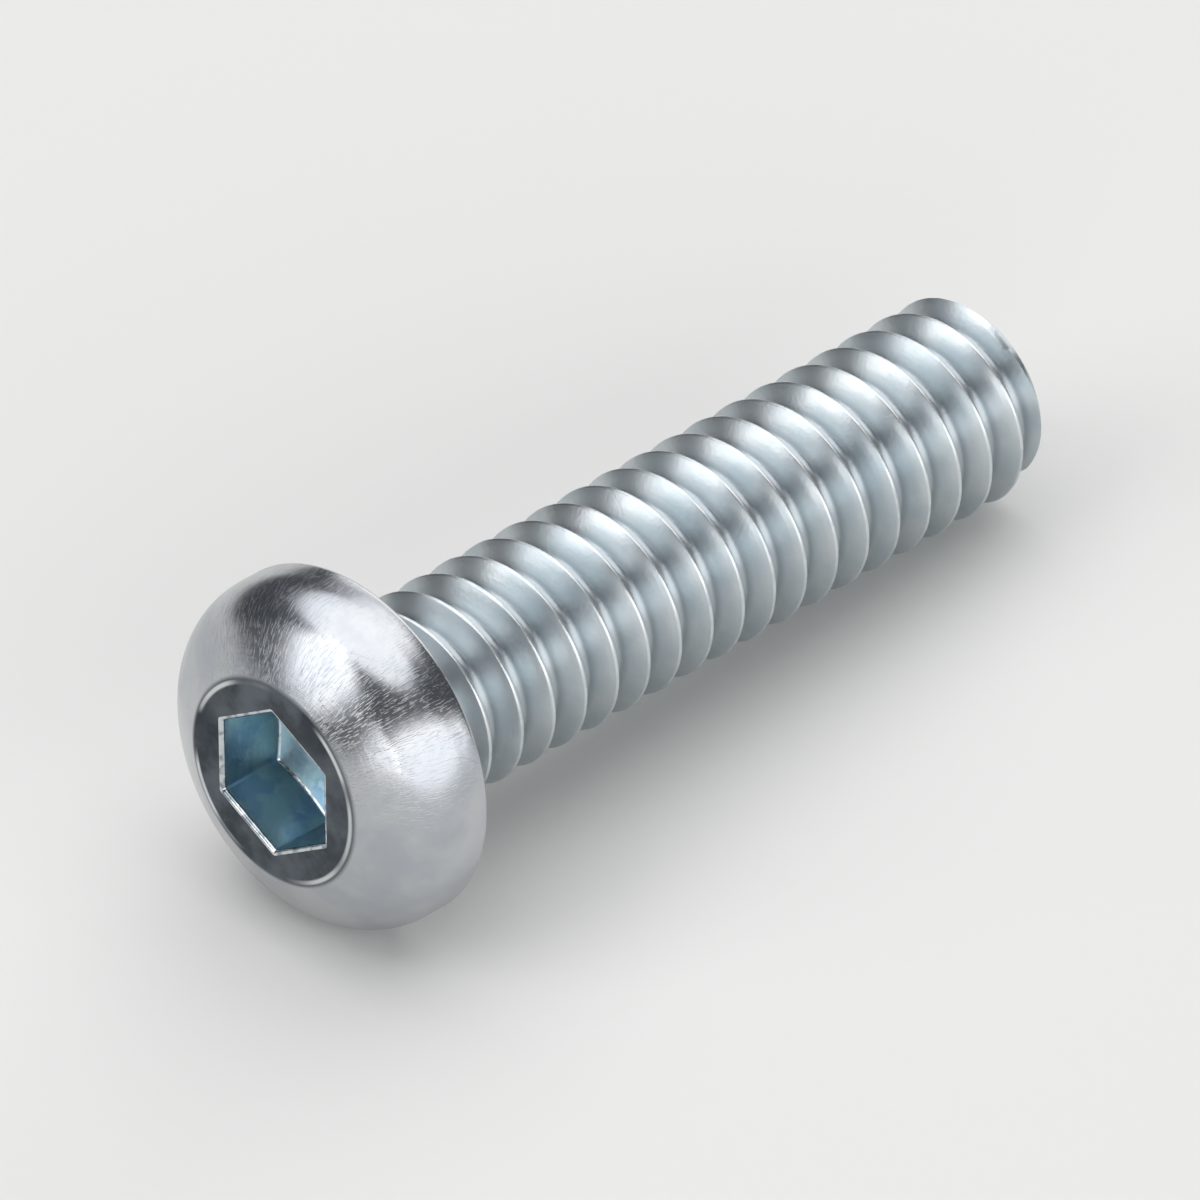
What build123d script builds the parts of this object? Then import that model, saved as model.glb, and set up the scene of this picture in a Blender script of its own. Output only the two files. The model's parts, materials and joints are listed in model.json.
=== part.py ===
from build123d import *
import math
import os

# Button head socket screw, 1/4 in with 20 threads to the inch, 1 in long under the head.
# It is headed, punched and thread rolled from one length of wire, so it is one solid.
# Sizes are in millimetres and angles in degrees. Heights count up the shank from the bearing
# face of the head, so the head itself is at heights below 0.

# Head: a flat top, a domed crown, and a rounded shoulder down to an upright rim. The crown
# and the side of the head would meet at the crown edge if the shoulder weren't rounded.
head_diameter = 10.7
head_height = 3.2
flat_top_diameter = 6.2
crown_edge_height = 1.78
shoulder_rounding = 2.0
rim_chamfer = 0.2

# Hexagon socket for a 5/32 in key
socket_across_flats = 3.97
socket_depth = 2.15
socket_floor_slope = 16.5
socket_mouth_chamfer = 0.13
socket_turn = 52.0

# Plain neck under the head, as thick as the wire before the thread is rolled
neck_diameter = 5.5
neck_length = 1.3
neck_flare_width = 0.4
neck_flare_length = 0.28

# Threaded shank
shank_length = 25.1
crest_diameter = 6.14
thread_pitch = 1.27
thread_angle = 60.0
crest_flat_per_pitch = 0.22
tip_chamfer = 0.35

head_radius = head_diameter / 2
flat_top_radius = flat_top_diameter / 2
neck_radius = neck_diameter / 2
crest_radius = crest_diameter / 2
crest_flat = crest_flat_per_pitch * thread_pitch
groove_mouth = thread_pitch - crest_flat
flank_slope = math.tan(math.radians(thread_angle / 2))
root_radius = crest_radius - groove_mouth / 2 / flank_slope
thread_start = neck_length + (crest_radius - neck_radius) * flank_slope
thread_end = shank_length - tip_chamfer

# The crown is part of a ball centred on the screw's axis
crown_centre = (
    head_radius**2 - flat_top_radius**2 + crown_edge_height**2 - head_height**2
) / (2 * (head_height - crown_edge_height))
crown_radius = math.hypot(flat_top_radius, crown_centre + head_height)
crown_edge = (head_radius, -crown_edge_height)


def thread_outline():
    """Corners of the thread's grooves, drawn as rings one pitch apart and counted from the tip."""
    groove_count = int((thread_end - thread_start - crest_flat) / thread_pitch)
    corners = []
    for turn in reversed(range(groove_count)):
        middle = thread_end - crest_flat - groove_mouth / 2 - turn * thread_pitch
        corners += [
            (crest_radius, middle - groove_mouth / 2),
            (root_radius, middle),
            (crest_radius, middle + groove_mouth / 2),
        ]
    return corners


# The punch that sinks the socket: a hexagon bar with a shallow cone on its end
with BuildPart() as socket_punch:
    with BuildSketch(Plane.XY.offset(-head_height)):
        RegularPolygon(socket_across_flats / 2, 6, major_radius=False, rotation=socket_turn)
    extrude(amount=head_height)
    with BuildSketch(Plane.XZ):
        corner_radius = socket_across_flats / math.sqrt(3)
        floor_edge = socket_depth - head_height
        floor_middle = floor_edge + corner_radius * math.tan(math.radians(socket_floor_slope))
        with BuildLine():
            Polyline(
                (0, -head_height),
                (corner_radius, -head_height),
                (corner_radius, floor_edge),
                (0, floor_middle),
                close=True,
            )
        make_face()
    revolve(axis=Axis.Z, mode=Mode.INTERSECT)

# The screw upright on its head, its half section turned about the Z axis
with BuildPart() as upright_screw:
    with BuildSketch(Plane.XZ) as half_section:
        with BuildLine():
            Line((0, -head_height), (flat_top_radius, -head_height))
            RadiusArc((flat_top_radius, -head_height), crown_edge, -crown_radius)
            Polyline(
                crown_edge,
                (head_radius, -rim_chamfer),
                (head_radius - rim_chamfer, 0),
                (neck_radius + neck_flare_width, 0),
                (neck_radius, neck_flare_length),
                (neck_radius, neck_length),
                (crest_radius, thread_start),
                *thread_outline(),
                (crest_radius, thread_end),
                (crest_radius - tip_chamfer, shank_length),
                (0, shank_length),
                (0, -head_height),
            )
        make_face()
        fillet(half_section.vertices().sort_by_distance(crown_edge)[0], shoulder_rounding)
    revolve(axis=Axis.Z)
    add(socket_punch.part, mode=Mode.SUBTRACT)
    flat_top = upright_screw.faces().sort_by(Axis.Z)[0]
    chamfer(flat_top.inner_wires()[0].edges(), socket_mouth_chamfer)

# The screw as it lies, on its rim and the last crest of its thread: its head is towards -X,
# its tip towards +X, and the middle of its box is over the origin
lean = math.atan2(head_radius - crest_radius, thread_end + rim_chamfer)
bearing_middle_height = crest_radius * math.cos(lean) + thread_end * math.sin(lean)
laid_down = Location((0, 0, bearing_middle_height), (0, 90 + math.degrees(lean), 0))
box_middle = upright_screw.part.moved(laid_down).bounding_box().center()
with BuildPart() as button_head_screw:
    add(upright_screw.part.moved(Location((-box_middle.X, 0, 0)) * laid_down))

os.makedirs("parts", exist_ok=True)
button_head_screw.part.label = "button_head_screw"
export_step(button_head_screw.part, "parts/button_head_screw.step")

print("Leans", round(math.degrees(lean), 3), "degrees, tip down")
print("Middle of the bearing face at", round(-box_middle.X, 3), round(bearing_middle_height, 3))
print("Thread from", round(thread_start, 3), "to", round(thread_end, 3), "along the shank")
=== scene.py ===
import bmesh
import bpy
import json
import math
from mathutils import Matrix, Vector, noise


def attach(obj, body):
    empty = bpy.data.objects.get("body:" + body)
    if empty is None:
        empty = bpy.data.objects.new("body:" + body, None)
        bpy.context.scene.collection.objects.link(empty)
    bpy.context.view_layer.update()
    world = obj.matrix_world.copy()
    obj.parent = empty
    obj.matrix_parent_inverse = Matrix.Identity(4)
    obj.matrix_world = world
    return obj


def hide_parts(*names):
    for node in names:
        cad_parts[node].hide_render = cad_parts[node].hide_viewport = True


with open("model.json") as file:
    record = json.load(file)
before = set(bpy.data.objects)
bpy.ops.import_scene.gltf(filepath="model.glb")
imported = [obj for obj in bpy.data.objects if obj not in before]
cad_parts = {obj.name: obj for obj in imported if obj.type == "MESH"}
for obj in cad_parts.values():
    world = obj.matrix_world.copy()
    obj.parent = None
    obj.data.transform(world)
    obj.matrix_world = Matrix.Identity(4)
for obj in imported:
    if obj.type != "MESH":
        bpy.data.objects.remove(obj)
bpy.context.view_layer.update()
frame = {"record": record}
print("The packed frame is loaded")

# The screw is modelled upright in millimetres: its bearing face is at height 0, its shank goes
# up to the tip, and its head is below. It is then laid where its solid lies.
head = {
    "diameter": 10.7,
    "height": 3.2,
    "flatTopDiameter": 6.2,
    "crownEdgeHeight": 1.78,  # where the crown would meet the side without the shoulder
    "shoulderRounding": 2.0,
    "rimRounding": 0.2,
    "topEdgeRounding": 0.24,
    "neckFlare": 0.35,
    "stepsAround": 192,
}

mounts = {mount["name"]: mount for mount in frame["record"]["mounts"]}
alongShank = Vector(mounts["thread"]["axis"])
flatTopMiddle = Vector(mounts["hex_socket"]["pos_m"])
bearingMiddle = flatTopMiddle + alongShank * head["height"] / 1000
laidDown = Matrix.Translation(bearingMiddle) @ Matrix((
    (alongShank.z, 0, alongShank.x),
    (0, 1, 0),
    (-alongShank.x, 0, alongShank.z),
)).to_4x4() @ Matrix.Scale(0.001, 4)


# A profile is drawn by one vertex that runs straight or swings round a point
def runTo(bm, vert, across, height, pieces=1):
    step = (Vector((across, 0, height)) - vert.co) / pieces
    for piece in range(pieces):
        vert = bmesh.ops.extrude_vert_indiv(bm, verts=[vert])["verts"][0]
        bmesh.ops.translate(bm, verts=[vert], vec=step)
    return vert


def swing(bm, vert, across, height, degrees, pieces):
    made = bmesh.ops.spin(
        bm, geom=[vert], cent=(across, 0, height), axis=(0, 1, 0),
        angle=math.radians(degrees), steps=pieces,
    )
    return [item for item in made["geom_last"] if isinstance(item, bmesh.types.BMVert)][0]


def openEdges(bm, isWanted):
    return [
        edge for edge in bm.edges
        if len(edge.link_faces) == 1 and isWanted((edge.verts[0].co + edge.verts[1].co) / 2)
    ]


# Extrudes a ring of edges and puts each new vertex where shape says
def nextRing(bm, edges, shape):
    made = bmesh.ops.extrude_edge_only(bm, edges=edges)["geom"]
    for vert in made:
        if isinstance(vert, bmesh.types.BMVert):
            vert.co = shape(vert.co)
    newVerts = {item for item in made if isinstance(item, bmesh.types.BMVert)}
    return [
        item for item in made
        if isinstance(item, bmesh.types.BMEdge) and all(vert in newVerts for vert in item.verts)
    ]


def closeRing(bm, edges, middle):
    ring = nextRing(bm, edges, lambda place: Vector(middle))
    verts = list({vert for edge in ring for vert in edge.verts})
    bmesh.ops.pointmerge(bm, verts=verts, merge_co=middle)


# Head, cold formed: flat top, ball shaped crown, rounded shoulder, upright rim, bearing face
def headMesh():
    bm = bmesh.new()
    radius = head["diameter"] / 2
    topRadius = head["flatTopDiameter"] / 2
    height = head["height"]
    edgeHeight = head["crownEdgeHeight"]
    shoulder = head["shoulderRounding"]
    rim = head["rimRounding"]
    topEdge = head["topEdgeRounding"]
    flare = head["neckFlare"]
    neck = thread["neckDiameter"] / 2

    ballHeight = (radius**2 - topRadius**2 + edgeHeight**2 - height**2) / (2 * (height - edgeHeight))
    ballRadius = math.hypot(topRadius, ballHeight + height)
    shoulderAcross = radius - shoulder
    shoulderHeight = ballHeight - math.sqrt((ballRadius - shoulder) ** 2 - shoulderAcross**2)
    crownStart = math.degrees(math.atan2(ballHeight - shoulderHeight, shoulderAcross))
    topEdgeHeight = topEdge - height
    topEdgeAcross = math.sqrt((ballRadius - topEdge) ** 2 - (ballHeight - topEdgeHeight) ** 2)
    crownEnd = math.degrees(math.atan2(ballHeight - topEdgeHeight, topEdgeAcross))

    vert = bmesh.ops.create_vert(bm, co=(neck, 0, thread["neckCut"]))["vert"][0]
    vert = runTo(bm, vert, neck, flare)
    vert = swing(bm, vert, neck + flare, flare, -90, 6)
    vert = runTo(bm, vert, radius - rim, 0, 3)
    vert = swing(bm, vert, radius - rim, -rim, 90, 6)
    vert = runTo(bm, vert, radius, shoulderHeight, 2)
    vert = swing(bm, vert, shoulderAcross, shoulderHeight, crownStart, 16)
    vert = swing(bm, vert, 0, ballHeight, crownEnd - crownStart, 10)
    vert = swing(bm, vert, topEdgeAcross, topEdgeHeight, 90 - crownEnd, 5)
    vert = runTo(bm, vert, topEdgeAcross - 0.1, -height)
    bmesh.ops.spin(
        bm, geom=bm.verts[:] + bm.edges[:], cent=(0, 0, 0), axis=(0, 0, 1),
        angle=math.tau, steps=head["stepsAround"], use_merge=True,
    )
    return bm


# Hexagon socket, sunk by a punch with a shallow cone on its end
hexSocket = {
    "acrossFlats": 3.97,
    "depth": 2.15,
    "floorSlope": 16.5,
    "mouthRounding": 0.13,
    "cornerRounding": 0.07,
    "footRounding": 0.07,
    "turn": 54.2,
}


def sinkSocket(bm):
    flatTop = -head["height"]
    apothem = hexSocket["acrossFlats"] / 2
    cornerRadius = apothem / math.cos(math.pi / 6)
    mouth = hexSocket["mouthRounding"]
    foot = hexSocket["footRounding"]
    slope = math.tan(math.radians(hexSocket["floorSlope"]))

    def floorHeight(place):
        across = math.hypot(place.x, place.y)
        return flatTop + hexSocket["depth"] + (cornerRadius - across) * slope

    def scaledTo(place, newApothem, oldApothem, height):
        return Vector((place.x * newApothem / oldApothem, place.y * newApothem / oldApothem, height))

    topRing = openEdges(bm, lambda place: place.z < flatTop + 0.1)
    turn = Matrix.Rotation(math.radians(hexSocket["turn"] - 90), 4, "Z")  # a circle starts at +Y
    outline = bmesh.ops.create_circle(
        bm, cap_ends=True, segments=6, radius=cornerRadius * (apothem + mouth) / apothem,
        matrix=Matrix.Translation((0, 0, flatTop)) @ turn,
    )["verts"]
    bmesh.ops.bevel(
        bm, geom=outline, affect="VERTICES", offset=hexSocket["cornerRounding"],
        offset_type="OFFSET", segments=4, profile=0.5, material=-1,
    )
    cap = next(face for face in bm.faces if len(face.verts) > 12)
    ring = list(cap.edges)
    bmesh.ops.delete(bm, geom=[cap], context="FACES_ONLY")
    longEdges = [edge for edge in ring if edge.calc_length() > 0.5]
    bmesh.ops.subdivide_edges(bm, edges=longEdges, cuts=27)
    ring = [
        edge for edge in bm.edges
        if not edge.link_faces and abs((edge.verts[0].co.z + edge.verts[1].co.z) / 2 - flatTop) < 0.01
    ]
    bmesh.ops.bridge_loops(bm, edges=topRing + ring)

    # the mouth, rounded over by the punch. Each band is the number of its first face and the
    # material that its faces get: 0 is the zinc, 1 the passivate and 2 the burnished edge with its painted
    # highlight.
    bands = [(len(bm.faces), 2)]
    old = apothem + mouth
    for step in range(1, 5):
        angle = math.pi / 2 * step / 4
        new = apothem + mouth * (1 - math.sin(angle))
        height = flatTop + mouth * (1 - math.cos(angle))
        ring = nextRing(bm, ring, lambda place: scaledTo(place, new, old, height))
        old = new
    bands.append((len(bm.faces), 1))
    # the walls, down to a curved line where they meet the cone
    for share in (0.35, 0.7, 1.0):
        ring = nextRing(bm, ring, lambda place: Vector((
            place.x, place.y,
            flatTop + mouth + share * (floorHeight(place) - foot - flatTop - mouth),
        )))
    # the foot's rounding gets the lighter edge colour, partly wear and partly a painted highlight
    bands.append((len(bm.faces), 2))
    for step in range(1, 4):
        angle = math.pi / 2 * step / 3
        new = apothem - foot * (1 - math.cos(angle))
        sunk = foot * (1 - math.sin(angle))
        ring = nextRing(bm, ring, lambda place: Vector((
            place.x * new / old, place.y * new / old, floorHeight(place * new / old) - sunk,
        )))
        old = new
    bands.append((len(bm.faces), 1))
    for share in (0.8, 0.6, 0.4, 0.2, 0.08):
        new = apothem * share
        ring = nextRing(bm, ring, lambda place: scaledTo(place, new, old, floorHeight(place * new / old)))
        old = new
    closeRing(bm, ring, (0, 0, floorHeight(Vector((0.1, 0, 0)))))
    bm.faces.ensure_lookup_table()
    for firstFace, material in bands:
        for face in bm.faces[firstFace:]:
            face.material_index = material


# Thread, rolled: one pitch of its section is spun up the shank as a right-hand helix
thread = {
    "length": 25.1,
    "crestDiameter": 6.14,
    "neckDiameter": 5.5,
    "neckCut": 0.5,  # height of the seam between head and shank
    "flankLean": 60.0,  # between the radius and the normal of a flank, as the standard has it
    "pitch": 1.27,
    "crestRounding": 0.08,
    "rootRounding": 0.24,
    "runOutFrom": 0.85,
    "runOutTo": 1.65,
    "tipChamfer": 0.35,
    "phase": -44.0,  # angle of the crest at the bearing face
    "stepsPerTurn": 112,
    "ripple": 0.012,  # rolling leaves the crests this uneven
    "ripplesPerMillimetre": 1.3,
    "rippleBelowCrest": 0.2,
    "tipRings": ((2.2, 0.0), (1.95, 0.02), (1.4, 0.08), (0.8, 0.12), (0.3, 0.135)),  # radius, depth
    "tipDish": 0.14,
}


def threadMesh():
    bm = bmesh.new()
    pitch = thread["pitch"]
    crest = thread["crestDiameter"] / 2
    neck = thread["neckDiameter"] / 2
    crestRound = thread["crestRounding"]
    rootRound = thread["rootRounding"]
    tip = thread["length"]
    tipStart = tip - thread["tipChamfer"]
    lean = thread["flankLean"]
    leanSine = math.sin(math.radians(lean))
    leanCosine = math.cos(math.radians(lean))

    crestTangent = crestRound * leanSine
    crestTangentRadius = crest - crestRound * (1 - leanCosine)
    rootTangent = pitch / 2 - rootRound * leanSine
    rootTangentRadius = crestTangentRadius - (rootTangent - crestTangent) * math.tan(math.radians(lean))
    rootCentre = rootTangentRadius + rootRound * leanCosine

    start = -pitch * thread["phase"] / 360 - pitch
    vert = bmesh.ops.create_vert(bm, co=(rootCentre - rootRound, 0, start - pitch / 2))["vert"][0]
    vert = swing(bm, vert, rootCentre, start - pitch / 2, lean, 4)
    vert = runTo(bm, vert, crestTangentRadius, start - crestTangent, 3)
    vert = swing(bm, vert, crest - crestRound, start, -2 * lean, 8)
    vert = runTo(bm, vert, rootTangentRadius, start + rootTangent, 3)
    vert = swing(bm, vert, rootCentre, start + pitch / 2, lean, 4)

    steps = thread["stepsPerTurn"]
    bmesh.ops.spin(
        bm, geom=bm.verts[:] + bm.edges[:], cent=(0, 0, 0), axis=(0, 0, 1),
        angle=math.tau, steps=steps, dvec=(0, 0, pitch / steps),
    )
    oneTurn = bm.verts[:] + bm.edges[:] + bm.faces[:]
    for turn in range(1, math.ceil((tip + pitch * 3) / pitch)):
        copied = bmesh.ops.duplicate(bm, geom=oneTurn)["geom"]
        copiedVerts = [item for item in copied if isinstance(item, bmesh.types.BMVert)]
        bmesh.ops.translate(bm, verts=copiedVerts, vec=(0, 0, pitch * turn))
    bmesh.ops.remove_doubles(bm, verts=bm.verts[:], dist=0.004)
    for height, clearOutside, clearInside in (
        (thread["neckCut"], False, True), (tip, True, False), (tipStart, False, False),
    ):
        bmesh.ops.bisect_plane(
            bm, geom=bm.verts[:] + bm.edges[:] + bm.faces[:], dist=0.0001,
            plane_co=(0, 0, height), plane_no=(0, 0, 1),
            clear_outer=clearOutside, clear_inner=clearInside,
        )

    # the section fades into the neck, the chamfer cuts the last turn and the crests ripple a little
    for vert in bm.verts:
        place = vert.co
        across = math.hypot(place.x, place.y)
        fade = (place.z - thread["runOutFrom"]) / (thread["runOutTo"] - thread["runOutFrom"])
        fade = min(max(fade, 0), 1)
        fade = fade * fade * (3 - 2 * fade)
        new = neck + (across - neck) * fade
        if across > crest - thread["rippleBelowCrest"] and place.z < tipStart:
            new += thread["ripple"] * noise.noise(place * thread["ripplesPerMillimetre"]) * fade
        new = min(new, crest - max(place.z - tipStart, 0))
        place.x *= new / across
        place.y *= new / across

    # the tip, with the shallow dish that rolling leaves
    ring = openEdges(bm, lambda place: place.z > tip - 0.01)
    for radius, depth in thread["tipRings"]:
        ring = nextRing(bm, ring, lambda place: Vector((
            place.x * radius / math.hypot(place.x, place.y),
            place.y * radius / math.hypot(place.x, place.y),
            tip - depth,
        )))
    closeRing(bm, ring, (0, 0, tip - thread["tipDish"]))
    return bm


sharpAngle = math.radians(38)  # edges that turn more than this are shaded sharp


def joinedScrew():
    bm = headMesh()
    sinkSocket(bm)
    print("Head and socket are formed")
    shank = threadMesh()
    print("Thread is rolled")
    shankData = bpy.data.meshes.new("shank")
    shank.to_mesh(shankData)
    shank.free()
    bm.from_mesh(shankData)
    bpy.data.meshes.remove(shankData)
    seam = openEdges(bm, lambda place: abs(place.z - thread["neckCut"]) < 0.01)
    bmesh.ops.bridge_loops(bm, edges=seam)
    bmesh.ops.remove_doubles(bm, verts=bm.verts[:], dist=0.0005)
    bmesh.ops.transform(bm, matrix=laidDown, verts=bm.verts[:])
    bmesh.ops.recalc_face_normals(bm, faces=bm.faces[:])
    for face in bm.faces:
        face.smooth = True
    print("Open edges left:", len([edge for edge in bm.edges if len(edge.link_faces) != 2]))
    data = bpy.data.meshes.new("buttonHeadScrew")
    bm.to_mesh(data)
    bm.free()
    data.set_sharp_from_angle(angle=sharpAngle)
    screw = bpy.data.objects.new("buttonHeadScrew", data)
    bpy.context.scene.collection.objects.link(screw)
    return screw


# Materials

def linearFrom(hexText):
    def channel(value):
        value = value / 255
        return value / 12.92 if value <= 0.04045 else ((value + 0.055) / 1.055) ** 2.4
    return tuple(channel(int(hexText[place:place + 2], 16)) for place in (1, 3, 5)) + (1.0,)


# Adds a node. An input gets a value, a colour's hex text, a socket, or a node, whose first output
# in use is then linked. A colour Mix takes numbers: 0 is its factor, 6 and 7 are its colours.
def addNode(tree, kind, settings=None, inputs=None):
    node = tree.nodes.new(kind)
    for name, value in (settings or {}).items():
        setattr(node, name, value)
    for name, value in (inputs or {}).items():
        if isinstance(value, bpy.types.Node):
            value = next(output for output in value.outputs if output.enabled)
        if isinstance(value, bpy.types.NodeSocket):
            tree.links.new(value, node.inputs[name])
        else:
            node.inputs[name].default_value = linearFrom(value) if isinstance(value, str) else value
    return node


def emptyMaterial(name):
    material = bpy.data.materials.new(name)
    material.use_nodes = True
    material.node_tree.nodes.clear()
    return material, material.node_tree


# The screw's own upright frame in millimetres, worked out from Object coordinates
def screwPlace(tree):
    stoodUp = laidDown.inverted()
    return addNode(tree, "ShaderNodeMapping", {"vector_type": "POINT"}, {
        "Vector": addNode(tree, "ShaderNodeTexCoord").outputs["Object"],
        "Location": stoodUp.translation,
        "Rotation": stoodUp.to_euler(),
        "Scale": (1000, 1000, 1000),
    })


# Bright zinc plate with a clear blue passivate, electroplated over cold formed and rolled steel.
# It gives a metal that is glossy and neutral on the head and softer and cool on the thread, with
# short streaks drawn down the head, fine lines rolled round the flanks, and edges made lighter,
# partly as burnished wear and partly as a painted highlight.
# The sizes are in millimetres.
zinc = {
    "head": ("#BFC1C4", "#B1B5BB"),
    "shank": ("#CBD1D4", "#BCC6CB"),
    # flatTop: a near black colour on the flat top, a painted dark reflection
    "flatTop": ("#383E45", "#60666D"),
    # root: a darker colour in the thread's roots, a painted shade
    "root": "#A6AEB3",
    # polished: a lighter colour on the flat top's lip and the thread's crests, partly burnished wear and
    # partly a painted highlight
    "polishAndPaintedHighlight": "#D2D5D7",
    "roughness": 0.22,
    "rougher": {"flatTop": 0.12, "onThread": 0.1},
    "cloudSize": 1.9,
    "grainSize": 0.12,  # real grain is far finer, and is drawn this coarse so that it shows
    "streakWidth": 0.045,
    "streakLength": 0.3,
    "rollingLine": 0.08,
    "rollingRate": 0.6,  # how fast the rolled lines change up the shank
    "nickSize": 0.45,
    "scratchGap": 1.7,
    "scratchHalfWidth": 0.002,  # in the noise's own values
}


def zincMaterial():
    material, tree = emptyMaterial("Bright zinc plate")
    place = screwPlace(tree)
    parts = addNode(tree, "ShaderNodeSeparateXYZ", None, {"Vector": place}).outputs
    height = parts["Z"]
    flat = addNode(tree, "ShaderNodeCombineXYZ", None, {"X": parts["X"], "Y": parts["Y"]})
    across = addNode(tree, "ShaderNodeVectorMath", {"operation": "LENGTH"}, {"Vector": flat})
    outwards = addNode(tree, "ShaderNodeVectorMath", {"operation": "NORMALIZE"}, {"Vector": flat})

    # streaks follow the head from its flat top to its rim, and rolled lines go round the thread
    streakPlace = addNode(tree, "ShaderNodeVectorMath", {"operation": "MULTIPLY_ADD"}, {
        0: outwards,
        1: (head["diameter"] / 2 / zinc["streakWidth"],) * 3,
        2: addNode(tree, "ShaderNodeVectorMath", {"operation": "SCALE"}, {
            "Vector": place, "Scale": 1 / zinc["streakLength"],
        }),
    })
    linePlace = addNode(tree, "ShaderNodeCombineXYZ", None, {
        "X": addNode(tree, "ShaderNodeMath", {"operation": "DIVIDE"}, {0: across, 1: zinc["rollingLine"]}),
        "Y": addNode(tree, "ShaderNodeSeparateXYZ", None, {"Vector": outwards}).outputs["X"],
        "Z": addNode(tree, "ShaderNodeMath", {"operation": "MULTIPLY"}, {0: height, 1: zinc["rollingRate"]}),
    })
    noises = {}  # where each is read, its scale and its detail
    for name, where, scale, detail in (
        ("clouds", place, 1 / zinc["cloudSize"], 4.0),
        ("grain", place, 1 / zinc["grainSize"], 0.0),
        ("nicks", place, 1 / zinc["nickSize"], 2.0),
        ("worn", place, 0.8 / zinc["cloudSize"], 1.0),
        ("streaks", streakPlace, 1.0, 2.0),
        ("lines", linePlace, 1.0, 0.0),
    ):
        noises[name] = addNode(tree, "ShaderNodeTexNoise", None, {
            "Vector": where, "Scale": scale, "Detail": detail, "Roughness": 0.58,
        })

    # scratches are the thin places where a stretched noise passes its middle value
    for name, turn, stretch in (
        ("scratchOne", (0.3, 0.9, 0.2), (1.0, 0.05, 1.0)),
        ("scratchTwo", (1.3, 0.2, 2.1), (0.05, 1.0, 0.9)),
    ):
        wander = addNode(tree, "ShaderNodeTexNoise", None, {
            "Vector": addNode(tree, "ShaderNodeMapping", None, {
                "Vector": place, "Rotation": turn, "Scale": stretch,
            }),
            "Scale": 1 / zinc["scratchGap"],
            "Detail": 0.0,
        })
        noises[name] = addNode(tree, "ShaderNodeMath", {"operation": "ABSOLUTE"}, {
            0: addNode(tree, "ShaderNodeMath", {"operation": "SUBTRACT"}, {0: wander, 1: 0.5}),
        })

    crestRadius = thread["crestDiameter"] / 2
    topRadius = head["flatTopDiameter"] / 2
    masks = {}  # each rises from 0 to 1 as its value goes from start to full
    for name, value, start, full in (
        ("onHead", height, 0.15, -0.05),
        ("onThread", height, thread["runOutFrom"], thread["runOutTo"]),
        # flatTop marks where the painted dark reflection goes
        ("flatTop", height, 0.08 - head["height"], -head["height"]),
        # lipInside and lipOutside bound the flat top's lip, which gets a painted highlight; crest marks the
        # crests, made lighter by wear and by a painted highlight
        ("lipInside", across, topRadius - 0.15, topRadius - 0.07),
        ("lipOutside", across, topRadius + 0.05, topRadius - 0.02),
        ("crest", across, crestRadius - 0.035, crestRadius - 0.012),
        # root marks the thread's roots, which get the painted shade
        ("root", across, crestRadius - 0.45, crestRadius - 0.7),
        ("patches", noises["clouds"], 0.36, 0.66),
        ("streaks", noises["streaks"], 0.52, 0.7),
        ("nicks", noises["nicks"], 0.62, 0.42),
        ("worn", noises["worn"], 0.42, 0.6),
        ("speckle", noises["grain"], 0.5, 0.68),
        ("scratchOne", noises["scratchOne"], zinc["scratchHalfWidth"], 0.0),
        ("scratchTwo", noises["scratchTwo"], zinc["scratchHalfWidth"], 0.0),
    ):
        masks[name] = addNode(tree, "ShaderNodeMapRange", {"interpolation_type": "SMOOTHSTEP"}, {
            "Value": value, "From Min": start, "From Max": full,
        })
    for name, operation, first, second in (
        ("streaks", "MULTIPLY", "streaks", "onHead"),
        ("speckle", "MULTIPLY", "speckle", "onThread"),
        ("root", "MULTIPLY", "root", "onThread"),
        ("crest", "MULTIPLY", "crest", "onThread"),
        # the lip's painted highlight is broken up by the worn noise and joined with the crests' lighter
        # colour
        ("lipPaintedHighlight", "MULTIPLY", "lipInside", "lipOutside"),
        ("lipPaintedHighlight", "MULTIPLY", "lipPaintedHighlight", "onHead"),
        ("lipPaintedHighlight", "MULTIPLY", "lipPaintedHighlight", "worn"),
        ("crest", "MULTIPLY", "crest", "nicks"),
        ("polishAndPaintedHighlight", "MAXIMUM", "lipPaintedHighlight", "crest"),
        ("scratches", "MAXIMUM", "scratchOne", "scratchTwo"),
        ("scratches", "MULTIPLY", "scratches", "worn"),
    ):
        masks[name] = addNode(tree, "ShaderNodeMath", {"operation": operation}, {
            0: masks[first], 1: masks[second],
        })

    shades = {}
    for name in ("head", "shank", "flatTop"):
        shades[name] = addNode(tree, "ShaderNodeMix", {"data_type": "RGBA"}, {
            0: masks["patches"], 6: zinc[name][0], 7: zinc[name][1],
        })
    colour = addNode(tree, "ShaderNodeMix", {"data_type": "RGBA"}, {
        0: masks["onHead"], 6: shades["shank"], 7: shades["head"],
    })
    # colours laid over the zinc: the flat top's painted dark reflection, the roots' painted shade, and the
    # lip and crests made lighter by wear and by a painted highlight
    for name, shade in (
        ("flatTop", shades["flatTop"]), ("root", zinc["root"]), ("polishAndPaintedHighlight", zinc["polishAndPaintedHighlight"]),
    ):
        colour = addNode(tree, "ShaderNodeMix", {"data_type": "RGBA"}, {
            0: masks[name], 6: colour, 7: shade,
        })

    roughness = addNode(tree, "ShaderNodeMapRange", None, {
        "Value": noises["clouds"], "From Min": 0.3, "From Max": 0.7,
        "To Min": zinc["roughness"] - 0.03, "To Max": zinc["roughness"] + 0.04,
    })
    for name, rougher in zinc["rougher"].items():
        roughness = addNode(tree, "ShaderNodeMath", {"operation": "MULTIPLY_ADD"}, {
            0: masks[name], 1: rougher, 2: roughness,
        })

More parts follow.
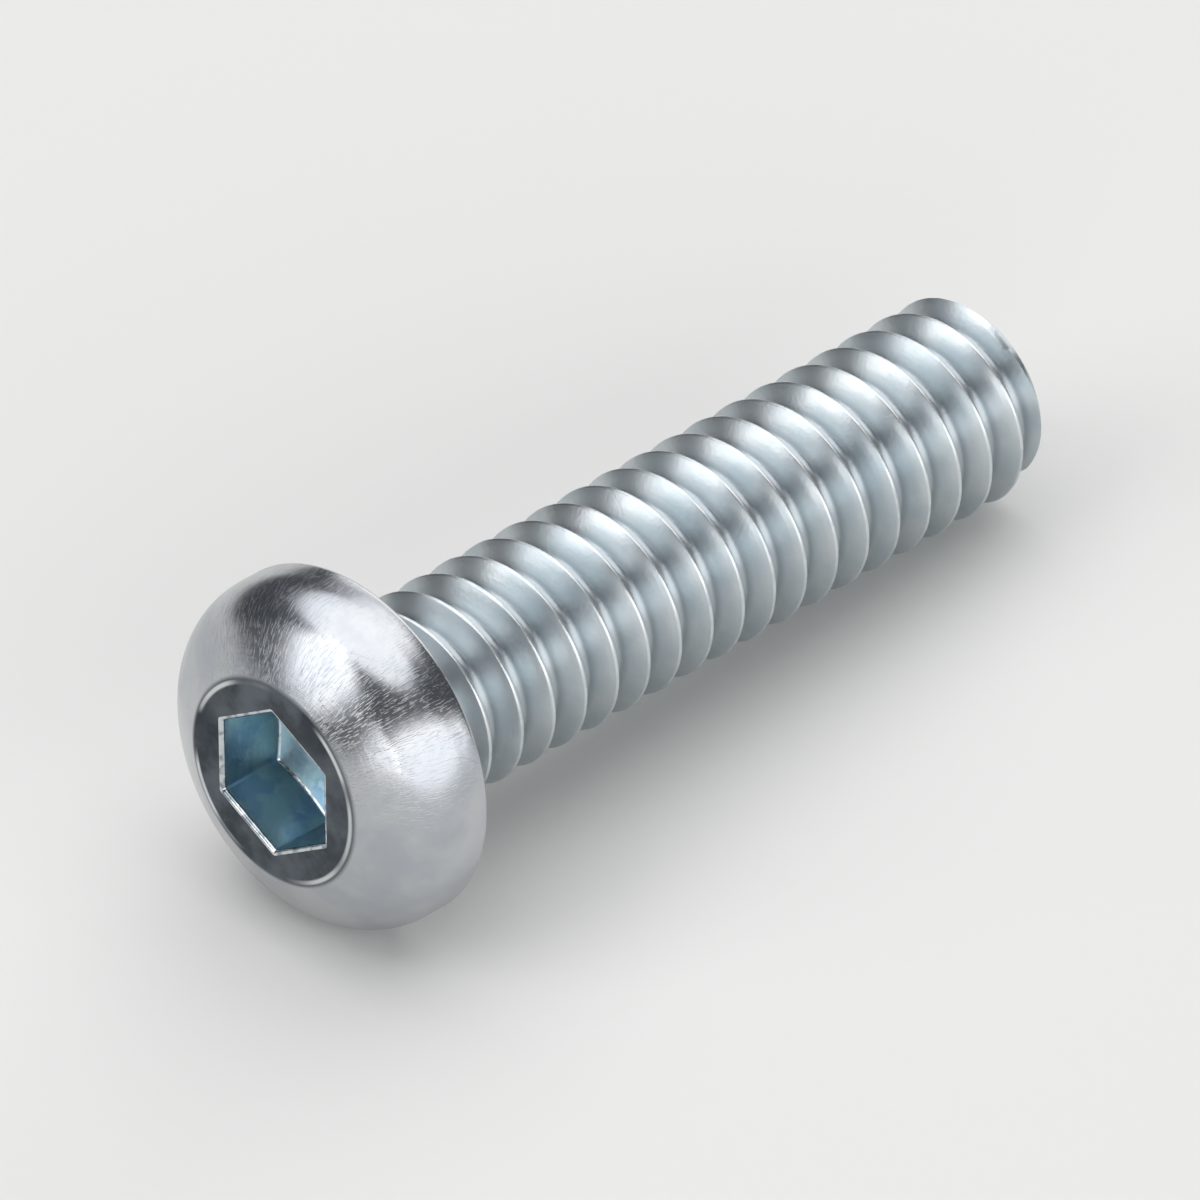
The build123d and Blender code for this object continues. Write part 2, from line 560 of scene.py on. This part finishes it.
    # a height of some microns for each relief. A strength below 0 sinks it.
    normal = None
    for strength, microns, relief in (
        (0.3, 1.5, noises["grain"]),
        (0.5, 1.2, masks["speckle"]),
        (0.7, 2.2, masks["streaks"]),
        (0.4, 4, noises["lines"]),
        (-0.4, 3, masks["scratches"]),
    ):
        inputs = {"Strength": abs(strength), "Distance": microns / 1000000, "Height": relief}
        if normal:
            inputs["Normal"] = normal
        normal = addNode(tree, "ShaderNodeBump", {"invert": strength < 0}, inputs)
    shader = addNode(tree, "ShaderNodeBsdfPrincipled", None, {
        "Base Color": colour, "Metallic": 1.0, "Roughness": roughness, "Normal": normal,
    })
    addNode(tree, "ShaderNodeOutputMaterial", None, {"Surface": shader})
    return material


# Blue passivate, dipped, which pools in the socket: a glossy film that is teal in some places,
# blue in others and pale where it is thin, over punched zinc plated steel
passivate = {
    "teal": "#B0C8CC",
    "blue": "#96B1C6",
    "pale": "#C3D1D7",
    "roughness": 0.3,
    "poolSize": 1.1,
    "thinSize": 0.4783,
    "punchMark": 0.18,
    "punchMarkDepth": 0.000015,  # metres
}


def socketMaterial():
    material, tree = emptyMaterial("Pooled blue passivate")
    place = screwPlace(tree)
    noises = {}
    for name, size in (("pools", "poolSize"), ("thin", "thinSize"), ("marks", "punchMark")):
        noises[name] = addNode(tree, "ShaderNodeTexNoise", None, {
            "Vector": place, "Scale": 1 / passivate[size], "Detail": 3.5, "Roughness": 0.58,
        })
    colour = passivate["teal"]
    for name, start, full, shade in (("pools", 0.4, 0.6, "blue"), ("thin", 0.54, 0.74, "pale")):
        colour = addNode(tree, "ShaderNodeMix", {"data_type": "RGBA"}, {
            0: addNode(tree, "ShaderNodeMapRange", {"interpolation_type": "SMOOTHSTEP"}, {
                "Value": noises[name], "From Min": start, "From Max": full,
            }),
            6: colour,
            7: passivate[shade],
        })
    normal = addNode(tree, "ShaderNodeBump", None, {
        "Strength": 0.6, "Distance": passivate["punchMarkDepth"], "Height": noises["marks"],
    })
    shader = addNode(tree, "ShaderNodeBsdfPrincipled", None, {
        "Base Color": colour, "Metallic": 1.0, "Roughness": passivate["roughness"], "Normal": normal,
    })
    addNode(tree, "ShaderNodeOutputMaterial", None, {"Surface": shader})
    return material


# Zinc plate burnished by the punch and by keys, at the socket's mouth and foot, with a painted highlight
# along those rounded edges: brighter and smoother than the plate around it, with small nicks that
# break its line
burnishAndHighlight = {
    "bright": "#CED2D4",
    "dull": "#8E979D",
    "roughness": 0.17,
    "nickSize": 0.3,
    "nickDepth": 0.00002,  # metres
}


def edgeMaterial():
    material, tree = emptyMaterial("Burnished zinc plate with painted highlight")
    nicks = addNode(tree, "ShaderNodeTexNoise", None, {
        "Vector": screwPlace(tree), "Scale": 1 / burnishAndHighlight["nickSize"], "Detail": 3.0,
    })
    colour = addNode(tree, "ShaderNodeMix", {"data_type": "RGBA"}, {
        0: addNode(tree, "ShaderNodeMapRange", {"interpolation_type": "SMOOTHSTEP"}, {
            "Value": nicks, "From Min": 0.45, "From Max": 0.65,
        }),
        6: burnishAndHighlight["bright"],
        7: burnishAndHighlight["dull"],
    })
    normal = addNode(tree, "ShaderNodeBump", None, {
        "Strength": 0.5, "Distance": burnishAndHighlight["nickDepth"], "Height": nicks,
    })
    shader = addNode(tree, "ShaderNodeBsdfPrincipled", None, {
        "Base Color": colour, "Metallic": 1.0, "Roughness": burnishAndHighlight["roughness"], "Normal": normal,
    })
    addNode(tree, "ShaderNodeOutputMaterial", None, {"Surface": shader})
    return material


screw = joinedScrew()
for material in (zincMaterial(), socketMaterial(), edgeMaterial()):
    screw.data.materials.append(material)
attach(screw, "root")
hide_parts("button_head_screw")
print("Screw has", len(screw.data.polygons), "faces")

# Studio: a pale paper floor under wide soft lamps. The gaps between the lamps are what the metal
# shows as dark bands.
studio = {
    "floorReach": 4.0,
    "floorColour": "#DADAD8",
    "fibresPerMetre": 1800.0,
    "worldColour": "#484B50",
    "distance": 1.2,
    "lamps": {
        # name: azimuth, elevation, width in degrees, height in degrees, radiance
        "overhead": (50, 78, 80, 80, 1.75),
        "front": (260, 16, 108, 44, 1.9),
        "frontLeft": (199, 6, 22, 24, 1.9),
        "left": (158, 34, 38, 52, 2.2),
        "tip": (20, 18, 50, 36, 1.6),
    },
}


def paperMaterial():
    material, tree = emptyMaterial("Matt white paper")
    fibres = addNode(tree, "ShaderNodeTexNoise", None, {
        "Vector": addNode(tree, "ShaderNodeTexCoord").outputs["Object"],
        "Scale": studio["fibresPerMetre"],
        "Detail": 3.0,
    })
    bump = addNode(tree, "ShaderNodeBump", None, {
        "Strength": 0.1, "Distance": 0.00005, "Height": fibres,
    })
    shader = addNode(tree, "ShaderNodeBsdfPrincipled", None, {
        "Base Color": studio["floorColour"], "Roughness": 0.9,
        "Specular IOR Level": 0.2, "Normal": bump,
    })
    addNode(tree, "ShaderNodeOutputMaterial", None, {"Surface": shader})
    return material


def directionTo(azimuth, elevation):
    azimuth = math.radians(azimuth)
    elevation = math.radians(elevation)
    return Vector((
        math.cos(elevation) * math.cos(azimuth),
        math.cos(elevation) * math.sin(azimuth),
        math.sin(elevation),
    ))


floorMesh = bmesh.new()
bmesh.ops.create_grid(floorMesh, x_segments=2, y_segments=2, size=studio["floorReach"])
floorData = bpy.data.meshes.new("floor")
floorMesh.to_mesh(floorData)
floorMesh.free()
floorData.materials.append(paperMaterial())
floor = bpy.data.objects.new("floor", floorData)
bpy.context.scene.collection.objects.link(floor)

for name, (azimuth, elevation, wide, high, radiance) in studio["lamps"].items():
    lampData = bpy.data.lights.new(name, "AREA")
    lampData.shape = "ELLIPSE"
    lampData.size = 2 * studio["distance"] * math.tan(math.radians(wide / 2))
    lampData.size_y = 2 * studio["distance"] * math.tan(math.radians(high / 2))
    lampData.energy = radiance * math.pi * math.pi / 4 * lampData.size * lampData.size_y
    lamp = bpy.data.objects.new(name, lampData)
    towards = directionTo(azimuth, elevation)
    lamp.location = towards * studio["distance"]
    lamp.rotation_euler = towards.to_track_quat("Z", "Y").to_euler()
    bpy.context.scene.collection.objects.link(lamp)

world = bpy.data.worlds.new("studio")
world.use_nodes = True
world.node_tree.nodes["Background"].inputs["Color"].default_value = linearFrom(studio["worldColour"])
bpy.context.scene.world = world

# Camera, at the photograph's angle
camera = {
    "imageMiddle": 600,
    "forward": (0.54192, 0.53445, -0.64861),
    "distance": 0.5765,
    "lens": 619.0,
    "sensorWidth": 36,
    "bearingPixel": (353.65, 737.27),  # where the middle of the bearing face shows
    "pixelsPerMillimetre": 35.79,
}
forward = Vector(camera["forward"]).normalized()
right = forward.cross(Vector((0, 0, 1))).normalized()
down = forward.cross(right)
across, drop = [
    (pixel - camera["imageMiddle"]) / camera["pixelsPerMillimetre"] / 1000 for pixel in camera["bearingPixel"]
]
cameraData = bpy.data.cameras.new("camera")
cameraData.lens = camera["lens"]
cameraData.sensor_width = camera["sensorWidth"]
cameraData.clip_start = 0.01
cameraObject = bpy.data.objects.new("camera", cameraData)
cameraObject.location = bearingMiddle - across * right - drop * down - camera["distance"] * forward
cameraObject.rotation_euler = forward.to_track_quat("-Z", "Y").to_euler()
bpy.context.scene.collection.objects.link(cameraObject)
bpy.context.scene.camera = cameraObject

bpy.context.scene.view_settings.view_transform = "Standard"
